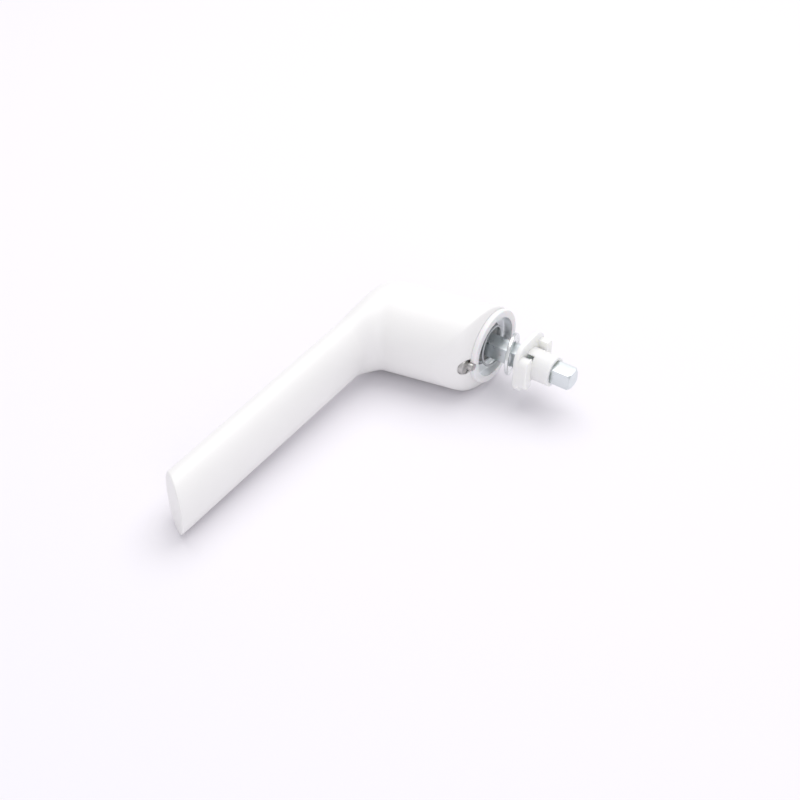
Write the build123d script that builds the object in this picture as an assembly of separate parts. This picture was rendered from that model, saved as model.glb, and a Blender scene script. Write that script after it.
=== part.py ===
from build123d import *
from math import cos, radians, sin, sqrt, tan
import os

# Tilt and turn window handle without a rose.
# Millimetres. The origin is on the spindle axis at the face that meets the sash.
# +Y runs along the spindle into the sash, +X towards the grip's tip, +Z is up as the handle lies on a table.

# Spindle
spindle_square = 7.0
spindle_reach = 36.0
spindle_grip_length = 24.5
spindle_edge_round = 0.3
spindle_end_radius = 3.9

# Lever: a round neck that leans towards the grip, an elbow and a flat oval grip
neck_radius = 18.6
neck_lean = 11.8
neck_offset = 3.5
elbow_inner_radius = 8.0
elbow_sharpness = 8
elbow_steps = 12
elbow_lead = 4.0
grip_axis_depth = 48.0
grip_half_thickness = 8.3
grip_half_height = 13.5
grip_length = 142.0
tip_slope = 0.64
tip_edge_round = 0.9
shoulder_radius = 9.5
shoulder_first_slope = 12.0
shoulder_last_slope = 64.0
shoulder_land = 0.15
shoulder_run_out = 1.0

# Ring and bearing cup at the mouth of the neck
ring_radius = 15.75
ring_height = 2.1
ring_edge_round = 0.5
ring_lip_height = 0.6
cup_mouth_radius = 12.7
cup_wall = 0.9
cup_floor = 1.0
cup_depth = 4.0
cup_fillet = 0.6
face_gap = 0.1

# Pressure spring in the neck
spring_wire = 1.0
spring_outer_radius = 8.7
spring_pitch = 3.8
spring_stand_out = 0.8
spring_bore_clearance = 0.5
spring_seat_depth = 13.0

# Socket that holds the spindle in the neck, and its cross pin
socket_radius = 7.0
socket_length = 14.0
socket_clearance = 0.05
pin_radius = 1.25
pin_depth = 20.0

# Screw in the shoulder, with a pin that keys the ring
screw_wall = 0.3
screw_head_radius = 3.3
screw_head_height = 2.0
screw_shank_radius = 1.6
screw_shank_length = 5.0
screw_pocket_depth = 4.9
screw_pocket_clearance = 0.2
key_pin_radius = 1.7
key_pin_inset = 0.2
key_pin_below_face = 0.3
key_notch_clearance = 0.1

# Washer that leans on the spindle
washer_radius = 8.75
washer_hole_clearance = 0.5
washer_thickness = 1.5
washer_edge_round = 0.25
washer_place = 7.8
washer_lean = 14.5

# Bush for the sash
bush_place = 14.3
bush_width = 20.4
bush_height = 22.4
bush_corner = 6.5
bush_plate = 2.0
bush_edge_round = 0.4
lug_rise = 4.0
lug_inner_edge = 6.0
lug_half_height = 7.0
lug_corner = 2.5
sleeve_radius = 6.3
sleeve_end = 27.7
sleeve_end_round = 0.4
bush_running_clearance = 0.06
window_length = 3.2
window_width = 3.5
window_turn = 50.0

# Facts that follow from the sizes above
spindle_corner = spindle_square / sqrt(2) - spindle_edge_round * (sqrt(2) - 1)
cup_outer_radius = cup_mouth_radius + cup_wall
cup_back = cup_depth + cup_floor
spring_bore_radius = spring_outer_radius + spring_bore_clearance
neck_face = ring_height + face_gap
shoulder_start = ring_radius + shoulder_land
washer_hole_radius = spindle_corner + washer_hole_clearance
elbow_turn = 90 - neck_lean
socket_back = spring_seat_depth + socket_length
screw_pocket_radius = screw_head_radius + screw_pocket_clearance
screw_place = cup_outer_radius + screw_wall + screw_pocket_radius
key_pin_place = screw_place - (screw_head_radius - key_pin_radius - key_pin_inset)


def along_y(radius, low, high, x=0.0, z=0.0):
    """A round bar parallel to the spindle, from y = low to y = high."""
    return Pos(x, low, z) * Rot(-90, 0, 0) * extrude(Circle(radius), high - low)


def square_bar(side, low, high, edge_round):
    """A square bar on the spindle axis."""
    outline = RectangleRounded(side, side, edge_round)
    return Pos(0, low, 0) * Rot(-90, 0, 0) * extrude(outline, high - low)


def oval_section(centre, direction, in_plane, upright):
    """An oval in the plane square to direction, flat in the handle's middle plane and upright along Z."""
    plane = Plane(origin=centre, x_dir=(0, 0, 1), z_dir=direction)
    return plane * Ellipse(upright, in_plane)


def smooth_step(t):
    return t * t * (3 - 2 * t)


# The neck's centre line leaves the sash face at neck_offset and leans towards +X.
neck_direction = Vector(sin(radians(neck_lean)), -cos(radians(neck_lean)), 0)
neck_across = Vector(cos(radians(neck_lean)), sin(radians(neck_lean)), 0)
neck_start = Vector(neck_offset, 0, 0)
grip_direction = Vector(1, 0, 0)

# The elbow's sections fan out about a centre that is one inner radius off both inner sides.
fan_depth = grip_axis_depth - grip_half_thickness - elbow_inner_radius
fan_across = neck_radius + elbow_inner_radius
fan_along = (fan_depth + fan_across * neck_across.Y) / cos(radians(neck_lean))
fan_centre = neck_start + neck_direction * fan_along + neck_across * fan_across
neck_wall_reach = elbow_inner_radius + 2 * neck_radius
grip_wall_reach = elbow_inner_radius + 2 * grip_half_thickness


def elbow_reach(turn):
    """Distance from the fan's centre to the elbow's outer side."""
    neck_side = neck_wall_reach / cos(radians(turn))
    grip_side = grip_wall_reach / cos(radians(elbow_turn - turn))
    return (neck_side ** -elbow_sharpness + grip_side ** -elbow_sharpness) ** (-1 / elbow_sharpness)


def elbow_section(share, shift=0.0):
    """The elbow's oval at a share of its turn, from the neck's round at 0 to the grip's flat oval at 1."""
    turn = elbow_turn * share
    ray = -neck_across * cos(radians(turn)) + neck_direction * sin(radians(turn))
    direction = neck_direction * cos(radians(turn)) + neck_across * sin(radians(turn))
    half = (elbow_reach(turn) - elbow_inner_radius) / 2
    upright = neck_radius + (grip_half_height - neck_radius) * smooth_step(share)
    centre = fan_centre + ray * (elbow_inner_radius + half) + direction * shift
    return oval_section(centre, direction, half, upright)


def lever_body():
    """The neck, elbow and grip in one, with a short straight lead at each end of the elbow."""
    turned = [elbow_section(step / elbow_steps) for step in range(elbow_steps + 1)]
    neck_end = elbow_section(0, -elbow_lead)
    grip_end = elbow_section(1, elbow_lead)
    body = loft([neck_end] + turned + [grip_end])
    body += extrude(neck_end, fan_along + shoulder_radius, dir=-neck_direction)
    body += extrude(grip_end, grip_length, dir=grip_direction)

    # The tip is cut on a slope, so the side that faces the sash is the longer one.
    cut_plane = Plane(
        origin=(grip_length, -grip_axis_depth, 0),
        x_dir=(tip_slope, 1, 0),
        z_dir=(1, -tip_slope, 0),
    )
    beyond = Box(grip_length, grip_length, grip_length, align=(Align.CENTER, Align.CENTER, Align.MIN))
    body -= cut_plane * beyond
    tip_face = body.faces().sort_by(Axis.X)[-1]
    body = fillet(tip_face.edges(), tip_edge_round)

    # The shoulder: the neck's end is rounded about the spindle axis, then slopes out through the wall.
    first = radians(shoulder_first_slope)
    last = radians(shoulder_last_slope)
    arc_centre = (
        shoulder_start - shoulder_radius * sin(first),
        -neck_face - shoulder_radius * cos(first),
    )
    arc_end = (
        arc_centre[0] + shoulder_radius * sin(last),
        arc_centre[1] + shoulder_radius * cos(last),
    )
    lean = radians(neck_lean)
    wall = neck_offset + neck_radius / cos(lean) - arc_end[1] * tan(lean)
    slope_length = (wall - arc_end[0]) / (cos(last) - sin(last) * tan(lean)) + shoulder_run_out
    slope_end = (arc_end[0] + slope_length * cos(last), arc_end[1] - slope_length * sin(last))
    outside = 4 * neck_radius
    profile = Polyline(
        arc_end,
        slope_end,
        (outside, slope_end[1]),
        (outside, outside),
        (0, outside),
        (0, -neck_face),
        (shoulder_start, -neck_face),
    )
    arc_turn = shoulder_last_slope - shoulder_first_slope
    arc = CenterArc(arc_centre, shoulder_radius, 90 - shoulder_last_slope, arc_turn)
    body -= revolve(make_face([profile, arc]), Axis.Y)
    return body


def lever_shell():
    body = lever_body()
    body -= along_y(cup_outer_radius, -cup_back, 0)
    body -= along_y(spring_bore_radius, -spring_seat_depth, 0)
    body -= along_y(socket_radius, -socket_back, 0)
    body -= along_y(screw_pocket_radius, -screw_pocket_depth, 0, x=screw_place)
    shank_end = screw_pocket_depth + screw_shank_length
    body -= along_y(screw_shank_radius, -shank_end, 0, x=screw_place)
    return body


def collar_ring():
    ring = along_y(ring_radius, -ring_height, 0)
    ring = fillet(ring.edges().sort_by(Axis.Y)[-1], ring_edge_round)
    ring -= along_y(cup_mouth_radius, -ring_height, 0)
    ring -= along_y(cup_outer_radius, -ring_height, -ring_lip_height)
    ring -= along_y(key_pin_radius + key_notch_clearance, -ring_height, 0, x=key_pin_place)
    return ring


def bearing_cup():
    cup = along_y(cup_outer_radius, -cup_back, -ring_lip_height)
    hollow = along_y(cup_mouth_radius, -cup_depth, 0)
    hollow = fillet(hollow.edges().sort_by(Axis.Y)[0], cup_fillet)
    return cup - hollow - along_y(spring_bore_radius, -cup_back, 0)


def pressure_spring():
    centre_radius = spring_outer_radius - spring_wire / 2
    low = -spring_seat_depth + spring_wire / 2
    height = spring_seat_depth + spring_stand_out - spring_wire
    path = Helix(pitch=spring_pitch, height=height, radius=centre_radius)
    wire = sweep(Plane(origin=path @ 0, z_dir=path % 0) * Circle(spring_wire / 2), path)
    return Pos(0, low, 0) * Rot(-90, 0, 0) * wire


def spindle():
    bar = square_bar(spindle_square, -spindle_grip_length, spindle_reach, spindle_edge_round)
    cone_length = spindle_square
    cone = Cone(
        spindle_end_radius + cone_length,
        spindle_end_radius,
        cone_length,
        align=(Align.CENTER, Align.CENTER, Align.MIN),
    )
    tip = Pos(0, spindle_reach - cone_length, 0) * Rot(-90, 0, 0) * cone
    bar &= tip + along_y(spindle_square, -spindle_grip_length, spindle_reach - cone_length)
    return bar - cross_pin_bar()


def cross_pin_bar():
    """The pin across the spindle, with its ends flush with the socket's round."""
    bar = Pos(0, -pin_depth, 0) * extrude(Circle(pin_radius), socket_radius, both=True)
    return bar & along_y(socket_radius, -socket_back, 0)


def spindle_socket():
    body = along_y(socket_radius, -socket_back, -spring_seat_depth)
    hole_side = spindle_square + 2 * socket_clearance
    hole_end = spindle_grip_length + socket_clearance
    body -= square_bar(hole_side, -hole_end, 0, spindle_edge_round)
    return body - cross_pin_bar()


def ring_key_screw():
    floor = -screw_pocket_depth
    head_top = floor + screw_head_height
    screw = along_y(screw_head_radius, floor, head_top, x=screw_place)
    screw += along_y(screw_shank_radius, floor - screw_shank_length, floor, x=screw_place)
    return screw + along_y(key_pin_radius, head_top, -key_pin_below_face, x=key_pin_place)


def spindle_washer():
    disc = along_y(washer_radius, -washer_thickness / 2, washer_thickness / 2)
    disc = fillet(disc.edges().filter_by(GeomType.CIRCLE), washer_edge_round)
    disc -= along_y(washer_hole_radius, -washer_thickness, washer_thickness)
    return Pos(0, washer_place, 0) * Rot(0, 0, washer_lean) * disc


def sash_bush():
    plate_top = bush_place + bush_plate
    outline = RectangleRounded(bush_width, bush_height, bush_corner)
    block = Pos(0, bush_place, 0) * Rot(-90, 0, 0) * extrude(outline, bush_plate + lug_rise)
    block = fillet(block.edges().group_by(Axis.Y)[-1], bush_edge_round)
    lug_outline = RectangleRounded(bush_width, 2 * lug_half_height, lug_corner)
    lug_zone = Rot(-90, 0, 0) * extrude(lug_outline, lug_rise / 2, both=True)
    middle = Box(2 * lug_inner_edge, lug_rise, 2 * bush_height)
    lug_zone = Pos(0, plate_top + lug_rise / 2, 0) * (lug_zone - middle)
    plate_zone = Pos(0, bush_place + bush_plate / 2, 0) * Box(bush_width, bush_plate, bush_height)
    bush = block & (plate_zone + lug_zone)
    sleeve = along_y(sleeve_radius, bush_place, sleeve_end)
    sleeve = fillet(sleeve.edges().sort_by(Axis.Y)[-1], sleeve_end_round)
    bush += sleeve
    window = Box(sleeve_radius, window_length, window_width)
    window_middle = plate_top + window_length / 2
    for turn in (window_turn, window_turn + 180):
        bush -= Pos(0, window_middle, 0) * Rot(0, -turn, 0) * Pos(sleeve_radius, 0, 0) * window
    bore = spindle_corner + bush_running_clearance
    return bush - along_y(bore, 0, spindle_reach)


pieces = {
    "lever_shell": lever_shell,
    "collar_ring": collar_ring,
    "bearing_cup": bearing_cup,
    "pressure_spring": pressure_spring,
    "spindle": spindle,
    "spindle_socket": spindle_socket,
    "spindle_cross_pin": cross_pin_bar,
    "ring_key_screw": ring_key_screw,
    "spindle_washer": spindle_washer,
    "sash_bush": sash_bush,
}

os.makedirs("parts", exist_ok=True)
for name, make in pieces.items():
    export_step(make(), f"parts/{name}.step")
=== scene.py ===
from math import cos, pi, radians, sin, sqrt, tan

import bmesh
import bpy
from mathutils import Matrix, Vector


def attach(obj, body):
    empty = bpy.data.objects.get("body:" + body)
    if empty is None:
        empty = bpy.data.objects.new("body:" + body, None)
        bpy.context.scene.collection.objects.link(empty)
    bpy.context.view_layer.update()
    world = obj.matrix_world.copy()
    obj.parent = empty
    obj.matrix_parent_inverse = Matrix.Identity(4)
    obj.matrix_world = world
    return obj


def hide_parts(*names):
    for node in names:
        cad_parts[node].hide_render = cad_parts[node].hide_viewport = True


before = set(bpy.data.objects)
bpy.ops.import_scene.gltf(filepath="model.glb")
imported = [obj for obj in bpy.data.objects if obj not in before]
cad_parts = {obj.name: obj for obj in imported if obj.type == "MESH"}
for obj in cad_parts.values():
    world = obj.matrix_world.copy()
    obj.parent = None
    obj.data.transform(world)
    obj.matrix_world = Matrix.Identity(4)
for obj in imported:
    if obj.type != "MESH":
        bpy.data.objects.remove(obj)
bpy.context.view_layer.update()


# --- Lever -------------------------------------------------------------------------------------
# One die casting: a round neck that leans towards the grip, an elbow and a flat oval grip whose
# tip is cut on a slope. It is blasted and given a white satin powder coat, so every edge is soft.

NECK_RADIUS, NECK_LEAN, NECK_OFFSET = 18.6, radians(11.8), 3.5
GRIP_HALF_THICK, GRIP_HALF_HIGH, GRIP_DEPTH, GRIP_LENGTH = 8.3, 13.5, 48.0, 142.0
ELBOW_INNER_RADIUS, ELBOW_SHARPNESS = 8.0, 8
TIP_SLOPE, TIP_ROUND = 0.64, 0.9
MOUTH_FACE, MOUTH_ROUND = -2.2, 0.55
SHOULDER_START, SHOULDER_RADIUS, SHOULDER_FIRST, SHOULDER_LAST = 15.9, 9.5, radians(12), radians(64)
CUP_SEAT, SPRING_BORE, SOCKET_BORE = (13.6, -5.0), (9.2, -13.0), (7.0, -27.0)
POCKET_PLACE, POCKET_RADIUS, POCKET_FLOOR, SCREW_HOLE = 17.4, 3.5, -4.9, (1.6, -9.9)

neck_down = Vector((sin(NECK_LEAN), -cos(NECK_LEAN), 0))
neck_across = Vector((cos(NECK_LEAN), sin(NECK_LEAN), 0))
elbow_turn = pi / 2 - NECK_LEAN
elbow_along = (
    GRIP_DEPTH - GRIP_HALF_THICK - ELBOW_INNER_RADIUS + (NECK_RADIUS + ELBOW_INNER_RADIUS) * neck_across.y
) / cos(NECK_LEAN)
elbow_centre = (
    Vector((NECK_OFFSET, 0, 0)) + neck_down * elbow_along + neck_across * (NECK_RADIUS + ELBOW_INNER_RADIUS)
)
AROUND = 160


def lever_oval(share, shift=0.0, inset=0.0):
    """One oval across the lever, from the neck at share 0 to the grip at share 1, in millimetres."""
    turn = elbow_turn * share
    ray = neck_down * sin(turn) - neck_across * cos(turn)
    along = neck_down * cos(turn) + neck_across * sin(turn)
    neck_side = (ELBOW_INNER_RADIUS + 2 * NECK_RADIUS) / cos(turn)
    grip_side = (ELBOW_INNER_RADIUS + 2 * GRIP_HALF_THICK) / cos(elbow_turn - turn)
    reach = (neck_side ** -ELBOW_SHARPNESS + grip_side ** -ELBOW_SHARPNESS) ** (-1 / ELBOW_SHARPNESS)
    half = (reach - ELBOW_INNER_RADIUS) / 2
    upright = NECK_RADIUS + (GRIP_HALF_HIGH - NECK_RADIUS) * share * share * (3 - 2 * share)
    centre = elbow_centre + ray * (ELBOW_INNER_RADIUS + half) + along * shift
    ring = []
    for step in range(AROUND):
        angle = 2 * pi * step / AROUND
        ring.append(
            centre + ray * ((half - inset) * cos(angle)) + Vector((0, 0, (upright - inset) * sin(angle)))
        )
    return ring


def mouth_height(radius):
    """How far the mouth and its rounded shoulder reach towards the sash, at a radius from the spindle."""
    if radius <= SHOULDER_START:
        return MOUTH_FACE
    middle = SHOULDER_START - SHOULDER_RADIUS * sin(SHOULDER_FIRST)
    level = MOUTH_FACE - SHOULDER_RADIUS * cos(SHOULDER_FIRST)
    over = radius - middle
    if over <= SHOULDER_RADIUS * sin(SHOULDER_LAST):
        return level + sqrt(SHOULDER_RADIUS**2 - over**2)
    beyond = over - SHOULDER_RADIUS * sin(SHOULDER_LAST)
    return level + SHOULDER_RADIUS * cos(SHOULDER_LAST) - beyond * tan(SHOULDER_LAST)


def mouth_column(wall):
    """Points from the spindle hole out over the mouth and down onto the neck's wall, for one wall point."""
    low, high = 0.0, 60.0
    for _ in range(50):
        middle = (low + high) / 2
        point = wall - neck_down * middle
        if point.y < mouth_height(Vector((point.x, point.z)).length):
            low = middle
        else:
            high = middle
    edge = wall - neck_down * low
    rim = Vector((edge.x, edge.z)).length
    out = Vector((edge.x / rim, 0, edge.z / rim))

    def on_mouth(radius):
        return out * radius + Vector((0, mouth_height(radius), 0))

    column = [out * SOCKET_BORE[0] + Vector((0, SOCKET_BORE[1], 0))]
    column += [out * SOCKET_BORE[0] + Vector((0, SPRING_BORE[1], 0))]
    column += [out * SPRING_BORE[0] + Vector((0, SPRING_BORE[1], 0))]
    column += [out * SPRING_BORE[0] + Vector((0, CUP_SEAT[1], 0))]
    column += [out * CUP_SEAT[0] + Vector((0, CUP_SEAT[1], 0))]
    steps = 22
    for step in range(steps + 1):
        share = sin(pi / 2 * step / steps)
        column.append(on_mouth(CUP_SEAT[0] + (rim - MOUTH_ROUND - CUP_SEAT[0]) * share))
    over, below = column[-1], edge + neck_down * MOUTH_ROUND
    for share in (0.25, 0.5, 0.75, 1.0):
        column.append(over * (1 - share) ** 2 + edge * (2 * share * (1 - share)) + below * share**2)
    down = wall - below
    for step in range(1, 15):
        column.append(below + down * (step / 15))
    return column


def millimetre_mesh(name, rings, closed_start=True, closed_end=True):
    """A closed skin over rings of points in millimetres, each joined to the next, with a pole at each end."""
    bm = bmesh.new()
    rows = [[bm.verts.new(point * 0.001) for point in ring] for ring in rings]
    count = len(rows[0])
    for near, far in zip(rows, rows[1:]):
        for i in range(count):
            j = (i + 1) % count
            bm.faces.new((near[i], near[j], far[j], far[i]))
    for row, closed in ((rows[0], closed_start), (rows[-1], closed_end)):
        if closed:
            middle = sum((vert.co for vert in row), Vector()) / count
            pole = bm.verts.new(middle)
            for i in range(count):
                bm.faces.new((row[i], row[(i + 1) % count], pole))
    bmesh.ops.remove_doubles(bm, verts=bm.verts, dist=1e-7)
    bmesh.ops.recalc_face_normals(bm, faces=bm.faces)
    mesh = bpy.data.meshes.new(name)
    bm.to_mesh(mesh)
    bm.free()
    return mesh


def turned(name, profile, x=0.0, around=128, ring=False):
    """A piece turned about a line parallel to the spindle, from a profile of (radius, y) in millimetres."""
    rings = []
    for radius, y in profile:
        rings.append(
            [
                Vector((x + radius * cos(2 * pi * i / around), y, radius * sin(2 * pi * i / around)))
                for i in range(around)
            ]
        )
    if ring:
        rings.append(rings[0])
    return millimetre_mesh(name, rings, not ring, not ring)


def placed(name, mesh, smooth_to=35):
    """Puts a mesh in the scene at the origin, shaded smooth up to an angle in degrees."""
    mesh.shade_smooth()
    mesh.set_sharp_from_angle(angle=radians(smooth_to))
    piece = bpy.data.objects.new(name, mesh)
    bpy.context.scene.collection.objects.link(piece)
    return piece


def settled(piece, smooth_to=35):
    """Turns a piece's modifiers into its mesh."""
    graph = bpy.context.evaluated_depsgraph_get()
    mesh = bpy.data.meshes.new_from_object(piece.evaluated_get(graph))
    piece.modifiers.clear()
    piece.data = mesh
    mesh.shade_smooth()
    mesh.set_sharp_from_angle(angle=radians(smooth_to))
    return piece


columns = [mouth_column(wall) for wall in lever_oval(0)]
lever_rings = [list(ring) for ring in zip(*columns)]
lever_rings += [lever_oval(step / 64) for step in range(65)]
run_start = elbow_centre.x


def grip_ring(share, inset=0.0, back=0.0):
    """An oval of the grip, its points slid along it towards the sloped tip."""
    ring = []
    for point in lever_oval(1, 0, inset):
        tip = GRIP_LENGTH + TIP_SLOPE * (point.y + GRIP_DEPTH)
        ring.append(Vector((run_start + (tip - back - run_start) * share, point.y, point.z)))
    return ring


lever_rings += [grip_ring(step / 24, 0, TIP_ROUND) for step in range(1, 25)]
for step in range(1, 7):
    bend = pi / 2 * step / 6
    lever_rings.append(grip_ring(1, TIP_ROUND * (1 - cos(bend)), TIP_ROUND * (1 - sin(bend))))
rim = lever_rings[-1]
middle = Vector((GRIP_LENGTH, -GRIP_DEPTH, 0))
for share in (0.8, 0.6, 0.4, 0.2):
    lever_rings.append([middle + (point - middle) * share for point in rim])

lever = placed("lever_casting", millimetre_mesh("lever_casting", lever_rings), 30)
pocket = placed(
    "pocket_tool",
    turned(
        "pocket_tool",
        [
            (SCREW_HOLE[0], SCREW_HOLE[1]),
            (SCREW_HOLE[0], POCKET_FLOOR),
            (POCKET_RADIUS, POCKET_FLOOR),
            (POCKET_RADIUS, 4.0),
        ],
        POCKET_PLACE,
        96,
    ),
)
cut = lever.modifiers.new("pocket", "BOOLEAN")
cut.operation, cut.solver, cut.object = "DIFFERENCE", "EXACT", pocket
settled(lever, 30)
bpy.data.objects.remove(pocket)


class Wire:
    """A value on its way through a material's nodes, so that its sums read as plain arithmetic."""

    def __init__(self, finish, socket):
        self.finish = finish
        self.socket = socket

    def sum(self, operation, first, second):
        return self.finish.node("ShaderNodeMath", {"operation": operation}, {0: first, 1: second})

    def __add__(self, other):
        return self.sum("ADD", self, other)

    def __sub__(self, other):
        return self.sum("SUBTRACT", self, other)

    def __mul__(self, other):
        return self.sum("MULTIPLY", self, other)

    __radd__ = __add__
    __rmul__ = __mul__


class Finish:
    """A surface finish: a material with one shader, fed by nodes that read the piece's own place."""

    def __init__(self, name, **fixed):
        self.material = bpy.data.materials.new(name)
        self.material.use_nodes = True
        self.tree = self.material.node_tree
        self.shader = next(n for n in self.tree.nodes if n.type == "BSDF_PRINCIPLED")
        for socket, value in fixed.items():
            self.shader.inputs[socket.replace("_", " ").title().replace("Ior", "IOR")].default_value = value
        self.place = self.node("ShaderNodeTexCoord", out="Object")

    def node(self, kind, settings={}, inputs={}, out=0):
        made = self.tree.nodes.new(kind)
        for name, value in settings.items():
            if name == "stops":
                ramp = made.color_ramp
                while len(ramp.elements) < len(value):
                    ramp.elements.new(0.5)
                for element, (position, colour) in zip(ramp.elements, value):
                    element.position, element.color = position, colour
            else:
                setattr(made, name, value)
        for name, value in inputs.items():
            if isinstance(value, Wire):
                self.tree.links.new(value.socket, made.inputs[name])
            else:
                made.inputs[name].default_value = value
        return Wire(self, made.outputs[out])

    def noise(self, scale, detail=2.0, roughness=0.5, stretch=(1, 1, 1)):
        where = self.node("ShaderNodeVectorMath", {"operation": "MULTIPLY"}, {0: self.place, 1: stretch})
        inputs = {"Vector": where, "Scale": scale, "Detail": detail, "Roughness": roughness}
        return self.node("ShaderNodeTexNoise", {}, inputs)

    def between(self, factor, first, second):
        stops = [(0.0, first + (1,)), (1.0, second + (1,))]
        return self.node("ShaderNodeValToRGB", {"stops": stops}, {0: factor})

    def feed(self, **sockets):
        for name, wire in sockets.items():
            self.tree.links.new(wire.socket, self.shader.inputs[name.replace("_", " ").title()])

    def bump(self, height, depth, strength=1.0):
        relief = self.node("ShaderNodeBump", {}, {"Strength": strength, "Distance": depth, "Height": height})
        self.feed(normal=relief)

    def on(self, piece):
        piece.data.materials.clear()
        piece.data.materials.append(self.material)
        return piece


powder_coat = Finish("white_powder_coat", specular_ior_level=0.45, coat_roughness=0.28)
flow = powder_coat.noise(55, 2)
peel = powder_coat.noise(1500, 2, 0.45)
grain = powder_coat.noise(6500, 1)
powder_coat.feed(
    base_color=powder_coat.between(flow, (0.86, 0.855, 0.84), (0.89, 0.885, 0.875)),
    roughness=0.34 + 0.08 * peel + 0.04 * grain,
    coat_weight=0.12 + 0.1 * flow,
)
powder_coat.bump(peel * 0.8 + grain * 0.2, 0.00004, 0.5)
powder_coat.on(lever)
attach(lever, "lever")
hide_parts("lever_shell")


# --- Spindle socket ----------------------------------------------------------------------------
# A sintered steel plug pressed into the neck. Its square hole takes the spindle, and its skin is
# dull grey and open-pored, as pressed powder is.

sintered = Finish("sintered_steel", metallic=1.0)
pores = sintered.node("ShaderNodeTexVoronoi", {}, {"Vector": sintered.place, "Scale": 2600.0})
tone = sintered.noise(420, 4, 0.6)
sintered.feed(
    base_color=sintered.between(tone, (0.2, 0.2, 0.205), (0.33, 0.33, 0.33)),
    roughness=0.48 + 0.2 * tone,
)
sintered.bump(pores * 0.7 + tone * 0.5, 0.00006, 0.6)
sintered.on(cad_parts["spindle_socket"])


# --- Spindle -----------------------------------------------------------------------------------
# A drawn 7 mm square bar, turned to a short cone at its free end and zinc plated. The drawing
# leaves fine lines along it, and the plating a faint blue mottle.

SPINDLE_EDGE_ROLL = 0.00012


def softened(node, name, roll, smooth_to=35):
    """A copy of a piece with its sharp edges rolled over by a small radius in metres."""
    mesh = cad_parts[node].data.copy()
    mesh.name = name
    bm = bmesh.new()
    bm.from_mesh(mesh)
    bmesh.ops.remove_doubles(bm, verts=bm.verts, dist=1e-6)
    bmesh.ops.dissolve_limit(bm, angle_limit=radians(0.8), verts=bm.verts, edges=bm.edges)
    bm.to_mesh(mesh)
    bm.free()
    piece = placed(name, mesh, smooth_to)
    rolled = piece.modifiers.new("rolled edges", "BEVEL")
    rolled.limit_method, rolled.angle_limit = "ANGLE", radians(smooth_to)
    rolled.width, rolled.segments = roll, 3
    return settled(piece, smooth_to)


def zinc_plate(name, dark, light, roughness, lines, line_scale, depth):
    """Bright zinc plating over steel, its working marks drawn out along the axes where lines is small."""
    plate = Finish(name, metallic=1.0)
    mottle = plate.noise(330, 3, 0.6)
    marks = plate.noise(line_scale, 3, 0.6, lines)
    spangle = plate.node("ShaderNodeTexVoronoi", {}, {"Vector": plate.place, "Scale": 900.0}, out="Distance")
    plate.feed(
        base_color=plate.between(0.65 * mottle + 0.35 * marks, dark, light),
        roughness=roughness + 0.1 * mottle + 0.08 * marks - 0.05 * spangle,
    )
    plate.bump(marks * 0.8 + mottle * 0.3, depth, 0.5)
    return plate


spindle_bar = softened("spindle", "spindle_bar", SPINDLE_EDGE_ROLL)
drawn_bar = zinc_plate(
    "zinc_on_drawn_bar", (0.62, 0.67, 0.68), (0.82, 0.86, 0.87), 0.24, (1, 0.04, 1), 1900, 0.000012
)
drawn_bar.on(spindle_bar)
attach(spindle_bar, "lever")
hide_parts("spindle")


# --- Spindle cross pin -------------------------------------------------------------------------
# A ground steel pin driven across the socket and the spindle, which keeps the two together. The
# grinding runs round it.

ground_pin = zinc_plate(
    "ground_pin_steel", (0.5, 0.5, 0.5), (0.72, 0.72, 0.72), 0.16, (0.1, 0.1, 1), 2400, 0.00001
)
ground_pin.on(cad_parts["spindle_cross_pin"])


# --- Pressure spring ---------------------------------------------------------------------------
# A compression spring wound from round wire about the spindle, its turns wide apart and its ends
# left open. It bears on the seat in the neck and stands a little proud of the ring.

SPRING_WIRE_RADIUS, SPRING_COIL_RADIUS = 0.0005, 0.0082
SPRING_START, SPRING_END, SPRING_TURNS, SPRING_CLOSING = -0.0125, 0.0003, -3.37, 0.1
COIL_POINTS = 470


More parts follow.
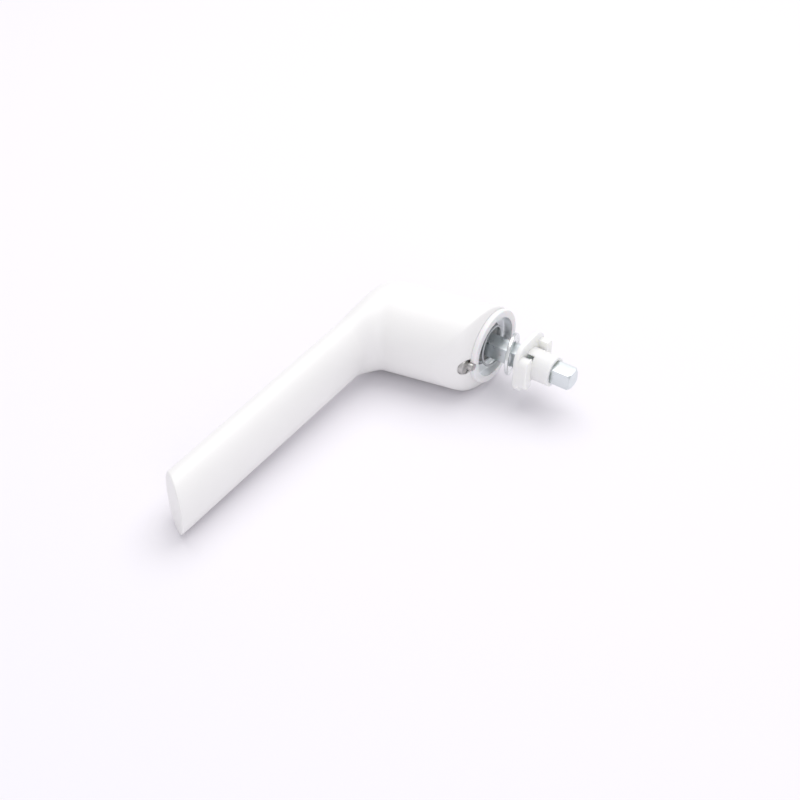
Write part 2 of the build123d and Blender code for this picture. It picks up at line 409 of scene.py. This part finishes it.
def coil_tree():
    """Nodes that wind a wire into a coil about the spindle, its end turns a little closer together."""
    tree = bpy.data.node_groups.new("wound coil", "GeometryNodeTree")
    wires = ("Wire Radius", "Coil Radius", "Start", "Length", "Turns", "Closing")
    for name in wires:
        tree.interface.new_socket(name, in_out="INPUT", socket_type="NodeSocketFloat")
    tree.interface.new_socket("Material", in_out="INPUT", socket_type="NodeSocketMaterial")
    tree.interface.new_socket("Geometry", in_out="OUTPUT", socket_type="NodeSocketGeometry")
    sizes = tree.nodes.new("NodeGroupInput")
    made = tree.nodes.new("NodeGroupOutput")

    def step(kind, inputs, settings={}):
        node = tree.nodes.new(kind)
        for name, value in settings.items():
            setattr(node, name, value)
        for name, value in inputs.items():
            if isinstance(value, bpy.types.NodeSocket):
                tree.links.new(value, node.inputs[name])
            else:
                node.inputs[name].default_value = value
        return node.outputs

    def maths(operation, first, second):
        return step("ShaderNodeMath", {0: first, 1: second}, {"operation": operation})[0]

    share = step("GeometryNodeSplineParameter", {})["Factor"]
    wave = maths("SINE", maths("MULTIPLY", share, 2 * pi), 0.0)
    drawn = maths("MULTIPLY", maths("MULTIPLY", wave, sizes.outputs["Closing"]), -1 / (2 * pi))
    height = maths("MULTIPLY", maths("ADD", share, drawn), sizes.outputs["Length"])
    along = maths("ADD", height, sizes.outputs["Start"])
    turn = maths("MULTIPLY", maths("MULTIPLY", share, sizes.outputs["Turns"]), 2 * pi)
    across = maths("MULTIPLY", maths("COSINE", turn, 0.0), sizes.outputs["Coil Radius"])
    up = maths("MULTIPLY", maths("SINE", turn, 0.0), sizes.outputs["Coil Radius"])
    place = step("ShaderNodeCombineXYZ", {"X": across, "Y": along, "Z": up})[0]
    line = step("GeometryNodeCurvePrimitiveLine", {})[0]
    points = step("GeometryNodeResampleCurve", {"Curve": line, "Count": COIL_POINTS})[0]
    coil = step("GeometryNodeSetPosition", {"Geometry": points, "Position": place})[0]
    wire_size = {"Resolution": 20, "Radius": sizes.outputs["Wire Radius"]}
    section = step("GeometryNodeCurvePrimitiveCircle", wire_size)["Curve"]
    swept = {"Curve": coil, "Profile Curve": section, "Fill Caps": True}
    wire = step("GeometryNodeCurveToMesh", swept)[0]
    real = step("GeometryNodeRealizeInstances", {"Geometry": wire})[0]
    painted = step("GeometryNodeSetMaterial", {"Geometry": real, "Material": sizes.outputs["Material"]})[0]
    tree.links.new(painted, made.inputs["Geometry"])
    return tree


def set_inputs(modifier, **values):
    """Sets a modifier's named inputs through their identifiers."""
    for item in modifier.node_group.interface.items_tree:
        key = item.name.lower().replace(" ", "_")
        if item.in_out == "INPUT" and key in values:
            modifier[item.identifier] = values[key]


spring_wire = zinc_plate(
    "drawn_spring_wire", (0.4, 0.42, 0.43), (0.6, 0.62, 0.63), 0.36, (1, 1, 1), 2600, 0.00001
)
spring = placed("spring_coil", bpy.data.meshes.new("spring_coil"))
winding = spring.modifiers.new("wound coil", "NODES")
winding.node_group = coil_tree()
set_inputs(
    winding,
    wire_radius=SPRING_WIRE_RADIUS,
    coil_radius=SPRING_COIL_RADIUS,
    start=SPRING_START,
    length=SPRING_END - SPRING_START,
    turns=SPRING_TURNS,
    closing=SPRING_CLOSING,
    material=spring_wire.material,
)
settled(spring, 50)
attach(spring, "lever")
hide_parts("pressure_spring")


# --- Bearing cup -------------------------------------------------------------------------------
# A cup pressed from steel strip and zinc plated. It lines the mouth of the neck, and the ring's
# lip holds it in.

CUP_EDGE_ROLL = 0.00012

cup = softened("bearing_cup", "cup_pressing", CUP_EDGE_ROLL)
pressed_cup = zinc_plate(
    "zinc_on_pressed_cup", (0.76, 0.78, 0.79), (0.93, 0.95, 0.96), 0.24, (0.25, 1, 0.25), 1500, 0.00002
)
pressed_cup.on(cup)
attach(cup, "lever")
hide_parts("bearing_cup")


# --- Collar ring -------------------------------------------------------------------------------
# A white nylon ring, moulded with a rounded rim and a notch for the key pin. It snaps over the cup
# and is what rubs on the sash.

RING_EDGE_ROLL = 0.00018

collar = softened("collar_ring", "collar_moulding", RING_EDGE_ROLL)
moulded_white = Finish(
    "white_moulded_nylon", specular_ior_level=0.4, subsurface_weight=0.15, subsurface_scale=0.0008
)
drift = moulded_white.noise(90, 2)
skin = moulded_white.noise(3800, 2)
moulded_white.feed(
    base_color=moulded_white.between(drift, (0.86, 0.86, 0.86), (0.89, 0.89, 0.89)),
    roughness=0.4 + 0.12 * skin,
)
moulded_white.bump(skin, 0.00002, 0.5)
moulded_white.on(collar)
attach(collar, "lever")
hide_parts("collar_ring")


# --- Ring key screw ----------------------------------------------------------------------------
# A turned steel screw in the shoulder's pocket. Its flat head carries a short pin that keys the
# ring, and its shank has a rolled thread.

HEAD_RADIUS, HEAD_FLOOR, HEAD_TOP, HEAD_CHAMFER = 3.3, -4.9, -2.9, 0.22
SHANK_RADIUS, SHANK_END, THREAD_PITCH, THREAD_DEPTH = 1.6, -9.9, 0.7, 0.3
KEY_PIN_PLACE, KEY_PIN_RADIUS, KEY_PIN_TOP = 16.0, 1.7, -0.3


def thread_rings():
    """Rings of the screw, from the shank's end up its helical thread to the middle of its head."""
    around, rings = 48, []

    def ring(radius, y):
        turns = [2 * pi * i / around for i in range(around)]
        rings.append([Vector((POCKET_PLACE + radius * cos(turn), y, radius * sin(turn))) for turn in turns])

    ring(SHANK_RADIUS - THREAD_DEPTH - 0.2, SHANK_END)
    rows = 72
    for row in range(rows + 1):
        y = SHANK_END + 0.2 + (HEAD_FLOOR - 0.4 - SHANK_END - 0.2) * row / rows
        fade = min(1.0, row / 8, (rows - row) / 8)
        points = []
        for i in range(around):
            angle = 2 * pi * i / around
            phase = (y / THREAD_PITCH - i / around) % 1
            cut_depth = THREAD_DEPTH * (1 - fade * (1 - abs(2 * phase - 1)))
            radius = SHANK_RADIUS - min(cut_depth, THREAD_DEPTH)
            points.append(Vector((POCKET_PLACE + radius * cos(angle), y, radius * sin(angle))))
        rings.append(points)
    for radius, y in (
        (SHANK_RADIUS - THREAD_DEPTH, HEAD_FLOOR - 0.25),
        (SHANK_RADIUS - 0.05, HEAD_FLOOR),
        (HEAD_RADIUS - HEAD_CHAMFER, HEAD_FLOOR),
        (HEAD_RADIUS, HEAD_FLOOR + HEAD_CHAMFER),
        (HEAD_RADIUS, HEAD_TOP - HEAD_CHAMFER),
        (HEAD_RADIUS - 0.08, HEAD_TOP - 0.08),
        (HEAD_RADIUS - HEAD_CHAMFER, HEAD_TOP),
    ):
        ring(radius, y)
    return rings


screw_mesh = millimetre_mesh("key_screw_turned", thread_rings())
pin_mesh = turned(
    "key_pin",
    [
        (KEY_PIN_RADIUS, HEAD_TOP - 0.3),
        (KEY_PIN_RADIUS, KEY_PIN_TOP - 0.3),
        (KEY_PIN_RADIUS - 0.08, KEY_PIN_TOP - 0.08),
        (KEY_PIN_RADIUS - 0.3, KEY_PIN_TOP),
    ],
    KEY_PIN_PLACE,
    64,
)
screw = placed("key_screw_turned", screw_mesh)
pin = placed("key_pin", pin_mesh)
weld = screw.modifiers.new("pin on head", "BOOLEAN")
weld.operation, weld.solver, weld.object = "UNION", "EXACT", pin
settled(screw)
bpy.data.objects.remove(pin)
turned_screw = zinc_plate(
    "zinc_on_turned_screw", (0.36, 0.36, 0.35), (0.7, 0.69, 0.67), 0.24, (1, 0.3, 1), 1700, 0.00002
)
turned_screw.on(screw)
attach(screw, "lever")
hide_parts("ring_key_screw")


# --- Spindle washer ----------------------------------------------------------------------------
# A stamped, zinc plated steel washer, loose on the spindle and leaning on it. The press rolls one
# edge over and leaves the other with a low raised rim round a shallow dish.

WASHER_RADIUS, WASHER_HOLE, WASHER_THICK, WASHER_PLACE, WASHER_LEAN = 8.75, 5.33, 1.5, 7.8, radians(14.5)
WASHER_ROLL, DISH_INNER, DISH_OUTER, DISH_DEPTH = 0.42, 6.2, 7.6, 0.4


def washer_profile():
    """The washer's section as (radius, height), with its rolled outer edge and its dished side."""
    half = WASHER_THICK / 2
    section = [(WASHER_HOLE + 0.12, -half), (WASHER_HOLE, -half + 0.12)]
    section += [(WASHER_HOLE, half - DISH_DEPTH - 0.15)]
    section += [(WASHER_HOLE + 0.15, half - DISH_DEPTH), (DISH_INNER, half - DISH_DEPTH)]
    section += [(DISH_OUTER - 0.3, half - DISH_DEPTH * 0.85)]
    section += [(DISH_OUTER, half - 0.04), (DISH_OUTER + 0.2, half)]
    for step in range(7):
        bend = pi / 2 * step / 6
        section.append((WASHER_RADIUS - WASHER_ROLL * (1 - sin(bend)), half - WASHER_ROLL * (1 - cos(bend))))
    for step in range(7):
        bend = pi / 2 * step / 6
        section.append((WASHER_RADIUS - WASHER_ROLL * (1 - cos(bend)), -half + WASHER_ROLL * (1 - sin(bend))))
    return section


washer_mesh = turned("washer_stamping", washer_profile(), 0.0, 144, True)
washer_mesh.transform(Matrix.Rotation(WASHER_LEAN, 4, "Z"))
washer_mesh.transform(Matrix.Translation((0, WASHER_PLACE * 0.001, 0)))
washer = placed("washer_stamping", washer_mesh, 40)
stamped = zinc_plate(
    "zinc_on_stamped_washer", (0.66, 0.68, 0.68), (0.92, 0.94, 0.94), 0.18, (1, 0.2, 1), 1300, 0.00002
)
stamped.on(washer)
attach(washer, "washer")
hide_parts("spindle_washer")


# --- Sash bush ---------------------------------------------------------------------------------
# A bush moulded in natural nylon that sits in the sash: a rounded square plate, two lugs and a
# sleeve for the spindle. Light passes into it a little way, so its edges look milky.

BUSH_EDGE_ROLL = 0.0003

bush = softened("sash_bush", "bush_moulding", BUSH_EDGE_ROLL)
natural_nylon = Finish(
    "natural_nylon",
    specular_ior_level=0.42,
    subsurface_weight=0.7,
    subsurface_radius=(1.0, 1.0, 0.9),
    subsurface_scale=0.0022,
)
cloud = natural_nylon.noise(150, 3)
mould_skin = natural_nylon.noise(3000, 2)
natural_nylon.feed(
    base_color=natural_nylon.between(cloud, (0.84, 0.845, 0.82), (0.89, 0.89, 0.875)),
    roughness=0.33 + 0.14 * mould_skin,
)
natural_nylon.bump(mould_skin * 0.7 + cloud * 0.3, 0.00003, 0.5)
natural_nylon.on(bush)
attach(bush, "sash_bush")
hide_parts("sash_bush")


# --- Table, light and camera -------------------------------------------------------------------
# The handle lies on a pale table, touching it along the underside of its neck and at its tip. Soft
# white light comes from all round and mostly from above.

neck_under = Vector((NECK_OFFSET, 0, -NECK_RADIUS)) * 0.001
tip_under = Vector((GRIP_LENGTH, -GRIP_DEPTH, -GRIP_HALF_HIGH)) * 0.001
table_up = neck_down.cross(tip_under - neck_under).normalized()
if table_up.z < 0:
    table_up = -table_up
table_side = table_up.cross(Vector((0, 1, 0))).normalized()
table_along = table_up.cross(table_side).normalized()
table_mesh = bpy.data.meshes.new("table_top")
corners = [
    neck_under + table_side * (3 * a) + table_along * (3 * b) for a, b in ((-1, -1), (1, -1), (1, 1), (-1, 1))
]
table_mesh.from_pydata([tuple(corner) for corner in corners], [], [(0, 1, 2, 3)])
if table_mesh.polygons[0].normal.z < 0:
    table_mesh.flip_normals()
table = bpy.data.objects.new("table_top", table_mesh)
bpy.context.scene.collection.objects.link(table)
paper = Finish("pale_table", roughness=0.9, specular_ior_level=0.1)
fibre = paper.noise(700, 2)
paper.feed(base_color=paper.between(fibre, (0.868, 0.85, 0.885), (0.872, 0.854, 0.889)))
paper.on(table)


def soft_light(name, size, power, place, aim, colour):
    light = bpy.data.lights.new(name, "AREA")
    light.shape, light.size, light.energy, light.color = "DISK", size, power, colour
    lamp = bpy.data.objects.new(name, light)
    lamp.location = place
    lamp.rotation_mode = "QUATERNION"
    lamp.rotation_quaternion = (Vector(place) - Vector(aim)).to_track_quat("Z", "Y")
    bpy.context.scene.collection.objects.link(lamp)


aim = (0.06, -0.02, 0)
soft_light("overhead_softbox", 1.3, 7.6, (-0.3, -0.1, 1.05), aim, (1.0, 0.99, 0.98))
soft_light("side_softbox", 0.6, 1.0, (0.75, 0.75, 0.5), aim, (0.97, 0.98, 1.0))

world = bpy.data.worlds.new("studio")
world.use_nodes = True
world.node_tree.nodes["Background"].inputs["Color"].default_value = (0.97, 0.965, 1.0, 1)
world.node_tree.nodes["Background"].inputs["Strength"].default_value = 0.72
bpy.context.scene.world = world
bpy.context.scene.view_settings.view_transform = "Standard"

AZIMUTH, ELEVATION, DISTANCE = radians(124.569), radians(41.151), 0.650
back = Vector((sin(AZIMUTH) * cos(ELEVATION), -cos(AZIMUTH) * cos(ELEVATION), sin(ELEVATION)))
right = Vector((cos(AZIMUTH), sin(AZIMUTH), 0))
up = back.cross(right)
camera_data = bpy.data.cameras.new("camera")
camera_data.sensor_width = 36.0
camera_data.lens = 72.65
camera_data.clip_start, camera_data.clip_end = 0.05, 20.0
camera = bpy.data.objects.new("camera", camera_data)
turned_to = Matrix((right, up, back)).transposed().to_4x4()
camera.matrix_world = Matrix.Translation(back * DISTANCE - right * 0.03846 - up * 0.02141) @ turned_to
bpy.context.scene.collection.objects.link(camera)
bpy.context.scene.camera = camera
